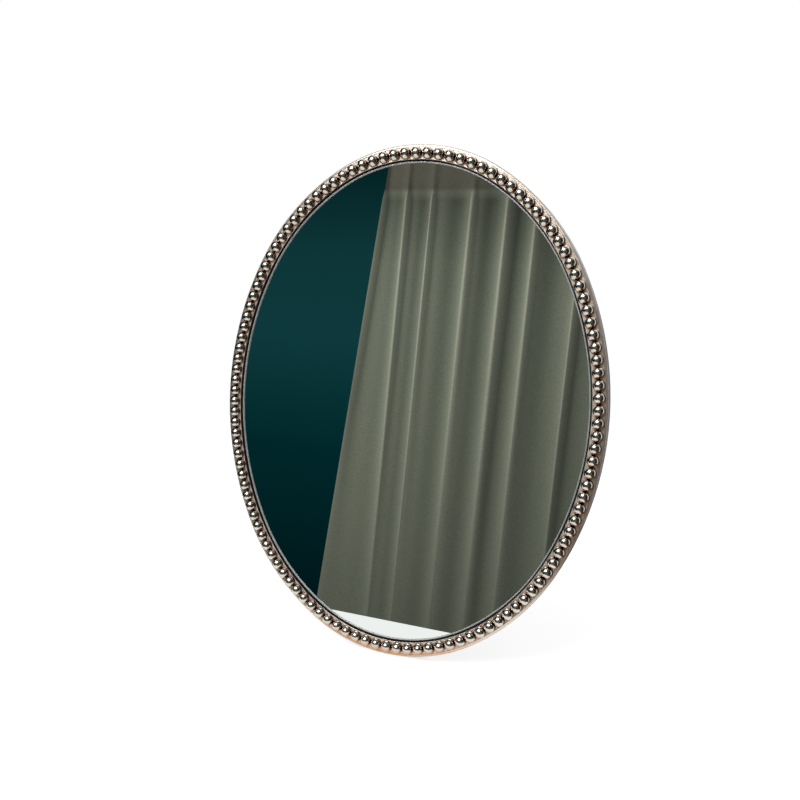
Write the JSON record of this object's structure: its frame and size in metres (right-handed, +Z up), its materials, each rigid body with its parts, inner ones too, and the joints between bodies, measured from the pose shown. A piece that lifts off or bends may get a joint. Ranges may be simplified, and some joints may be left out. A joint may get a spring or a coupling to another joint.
{
  "type": "oval wall mirror",
  "caption": "Oval wall mirror with a champagne metal frame edged by a row of polished ball beads, hung from two ring hangers on its back.",
  "frame": {"origin": "on the wall plane, behind the middle of the oval", "axes": "+X to the viewer's right, +Y into the wall, +Z up; the mirror looks along -Y"},
  "size_m": [0.5518, 0.0331, 0.702],
  "materials": {
    "champagne_metal": "polished champagne plating",
    "polished_beads": "polished, dark in the creases",
    "bright_lip": "polished",
    "black_rubber": "matt",
    "silvered_glass": "silvered float glass",
    "cushion": "foam",
    "black_board": "painted fibreboard",
    "zinc_steel": "zinc plated",
    "ring_steel": "nickel plated",
    "bumper_rubber": "matt"
  },
  "bodies": {
    "mirror": {"frame_moulding": "champagne_metal", "bead_row": "polished_beads", "sight_slip": "bright_lip", "sight_gasket": "black_rubber", "mirror_glass": "silvered_glass", "cushion_sheet": "cushion", "backing_board": "black_board", "turn_button_screws": "zinc_steel", "hanger_strap_left": "zinc_steel", "hanger_strap_right": "zinc_steel", "hanger_screws": "zinc_steel", "bumper_upper_right": "bumper_rubber", "bumper_upper_left": "bumper_rubber", "bumper_lower_left": "bumper_rubber", "bumper_lower_right": "bumper_rubber"},
    "turn_button_1": {"turn_button_1": "zinc_steel"},
    "turn_button_2": {"turn_button_2": "zinc_steel"},
    "turn_button_3": {"turn_button_3": "zinc_steel"},
    "turn_button_4": {"turn_button_4": "zinc_steel"},
    "turn_button_5": {"turn_button_5": "zinc_steel"},
    "turn_button_6": {"turn_button_6": "zinc_steel"},
    "hanger_ring_left": {"hanger_ring_left": "ring_steel"},
    "hanger_ring_right": {"hanger_ring_right": "ring_steel"}
  },
  "joints": [
    {"name": "turn_button_1_pivot", "type": "hinge", "parent": "mirror", "child": "turn_button_1", "pos_m": [0.23793, -0.0053, 0.15614], "axis": [0, 1, 0], "continuous": true},
    {"name": "turn_button_2_pivot", "type": "hinge", "parent": "mirror", "child": "turn_button_2", "pos_m": [0, -0.0053, 0.34263], "axis": [0, 1, 0], "continuous": true},
    {"name": "turn_button_3_pivot", "type": "hinge", "parent": "mirror", "child": "turn_button_3", "pos_m": [-0.23793, -0.0053, 0.15614], "axis": [0, 1, 0], "continuous": true},
    {"name": "turn_button_4_pivot", "type": "hinge", "parent": "mirror", "child": "turn_button_4", "pos_m": [-0.23793, -0.0053, -0.15614], "axis": [0, 1, 0], "continuous": true},
    {"name": "turn_button_5_pivot", "type": "hinge", "parent": "mirror", "child": "turn_button_5", "pos_m": [0, -0.0053, -0.34263], "axis": [0, 1, 0], "continuous": true},
    {"name": "turn_button_6_pivot", "type": "hinge", "parent": "mirror", "child": "turn_button_6", "pos_m": [0.23793, -0.0053, -0.15614], "axis": [0, 1, 0], "continuous": true},
    {"name": "hanger_ring_left_swing", "type": "hinge", "parent": "mirror", "child": "hanger_ring_left", "pos_m": [-0.15, -0.0034, 0.19], "axis": [-1, 0, 0], "range_deg": [-3, 175]},
    {"name": "hanger_ring_right_swing", "type": "hinge", "parent": "mirror", "child": "hanger_ring_right", "pos_m": [0.15, -0.0034, 0.19], "axis": [-1, 0, 0], "range_deg": [-3, 175]}
  ]
}
